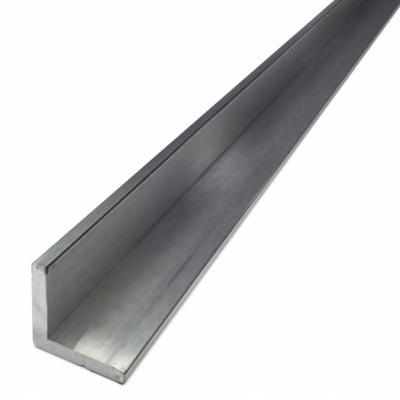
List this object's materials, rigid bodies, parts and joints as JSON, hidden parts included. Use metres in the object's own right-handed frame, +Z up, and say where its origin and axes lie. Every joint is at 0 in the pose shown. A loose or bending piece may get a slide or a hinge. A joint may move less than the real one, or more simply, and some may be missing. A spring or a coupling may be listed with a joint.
{
  "type": "metal angle section",
  "caption": "Straight equal-leg aluminium angle bar with square cut ends, a rounded heel and a sharp inside corner.",
  "frame": {"origin": "centre of the bounding box's underside: the middle of the bar's length and of the flat leg's width, on the floor", "axes": "+X along the bar, +Y across the flat leg from its toe to the heel and the standing leg, +Z up along the standing leg"},
  "size_m": [1, 0.0382, 0.0381],
  "materials": {
    "mill_finish": "mill finish as extruded, with fine lengthwise die lines and saw-cut ends"
  },
  "bodies": {
    "root": {"angle_section": "mill_finish"}
  },
  "joints": []
}
